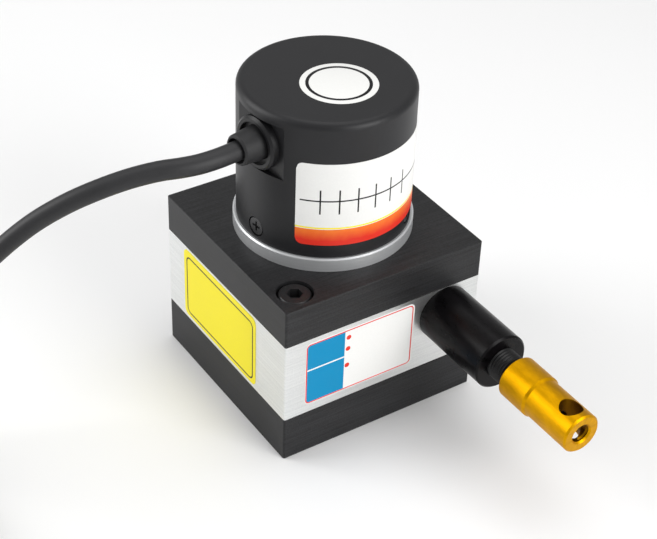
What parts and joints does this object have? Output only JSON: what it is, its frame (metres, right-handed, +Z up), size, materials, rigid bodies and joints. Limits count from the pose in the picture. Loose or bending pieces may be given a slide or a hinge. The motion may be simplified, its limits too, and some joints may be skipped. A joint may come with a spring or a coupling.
{
  "type": "draw wire encoder",
  "caption": "Square wire drum housing with a return spring, a round shaft encoder on top, a pull head on a steel wire, and a signal cable.",
  "frame": {"origin": "centre of the base plate's bottom face, on the axis of the drum and the encoder", "axes": "+Z up along the drum and encoder axis, +X the way the wire is drawn out, +Y the side on which the wire leaves the drum"},
  "size_m": [0.107, 0.1849, 0.0752],
  "materials": {
    "base_plate": "black anodised, satin",
    "spring_stud": "ground",
    "power_spring": "blued strip",
    "spring_arbor": "ground",
    "main_shaft": "ground",
    "lower_bearing": "ground",
    "upper_bearing": "ground",
    "drum": "plain, turned",
    "shaft_grub_screw": "black oxide",
    "wire_winding": "stranded",
    "drum_housing": "clear anodised, fine brushed",
    "cover_plate": "black anodised, satin",
    "cover_screws": "zinc plated",
    "base_screws": "zinc plated",
    "outlet_nozzle": "polished black",
    "guide_bush": "moulded",
    "wire_guide": "glazed ceramic",
    "wire_wiper": "felt",
    "wire": "stranded",
    "wire_ferrule": "plain",
    "pull_head": "gold anodised, turned",
    "head_grub_screw": "black oxide",
    "encoder_flange": "clear anodised, fine brushed",
    "flange_screws": "zinc plated",
    "encoder_bearings": "ground",
    "encoder_shaft": "ground",
    "code_disc": "clear with an opaque pattern",
    "reader_block": "moulded",
    "board_posts": "plain",
    "circuit_board": "solder resist",
    "board_screws": "zinc plated",
    "inner_leads": "coloured insulation",
    "can_seal": "matt",
    "encoder_can": "black anodised, satin",
    "can_screws": "black oxide",
    "cable_gland": "moulded",
    "gland_nut": "zinc plated",
    "cable_sleeve": "matt",
    "cable": "satin jacket",
    "cable_coil": "satin jacket",
    "cable_tail": "satin jacket",
    "cable_tie": "moulded",
    "lead_ends": "coloured insulation"
  },
  "bodies": {
    "sensor": {"base_plate": "base_plate", "spring_stud": "spring_stud", "power_spring": "power_spring", "lower_bearing": "lower_bearing", "upper_bearing": "upper_bearing", "drum_housing": "drum_housing", "cover_plate": "cover_plate", "cover_screws": "cover_screws", "base_screws": "base_screws", "outlet_nozzle": "outlet_nozzle", "guide_bush": "guide_bush", "wire_guide": "wire_guide", "wire_wiper": "wire_wiper", "wire": "wire", "encoder_flange": "encoder_flange", "flange_screws": "flange_screws", "encoder_bearings": "encoder_bearings", "reader_block": "reader_block", "board_posts": "board_posts", "circuit_board": "circuit_board", "board_screws": "board_screws", "inner_leads": "inner_leads", "can_seal": "can_seal", "encoder_can": "encoder_can", "can_screws": "can_screws", "cable_gland": "cable_gland", "gland_nut": "gland_nut", "cable_sleeve": "cable_sleeve", "cable": "cable", "cable_coil": "cable_coil", "cable_tail": "cable_tail", "cable_tie": "cable_tie", "lead_ends": "lead_ends"},
    "drum_rotor": {"main_shaft": "main_shaft", "drum": "drum", "wire_winding": "wire_winding", "spring_arbor": "spring_arbor", "shaft_grub_screw": "shaft_grub_screw", "encoder_shaft": "encoder_shaft", "code_disc": "code_disc"},
    "head": {"pull_head": "pull_head", "head_grub_screw": "head_grub_screw", "wire_ferrule": "wire_ferrule"}
  },
  "joints": [
    {"name": "head_slide", "type": "slide", "parent": "sensor", "child": "head", "axis": [1, 0, 0], "range_m": [0, 1.2], "stiffness_N_per_m": 1.5, "springref_m": -3, "deforming": ["wire"]},
    {"name": "drum_spin", "type": "hinge", "parent": "sensor", "child": "drum_rotor", "pos_m": [0, 0, 0.0243], "axis": [0, 0, -1], "range_deg": [0, 4321], "deforming": ["power_spring"]}
  ],
  "couplings": [
    {"joint": "drum_spin", "follows": "head_slide", "rad_per_m": 62.832}
  ]
}
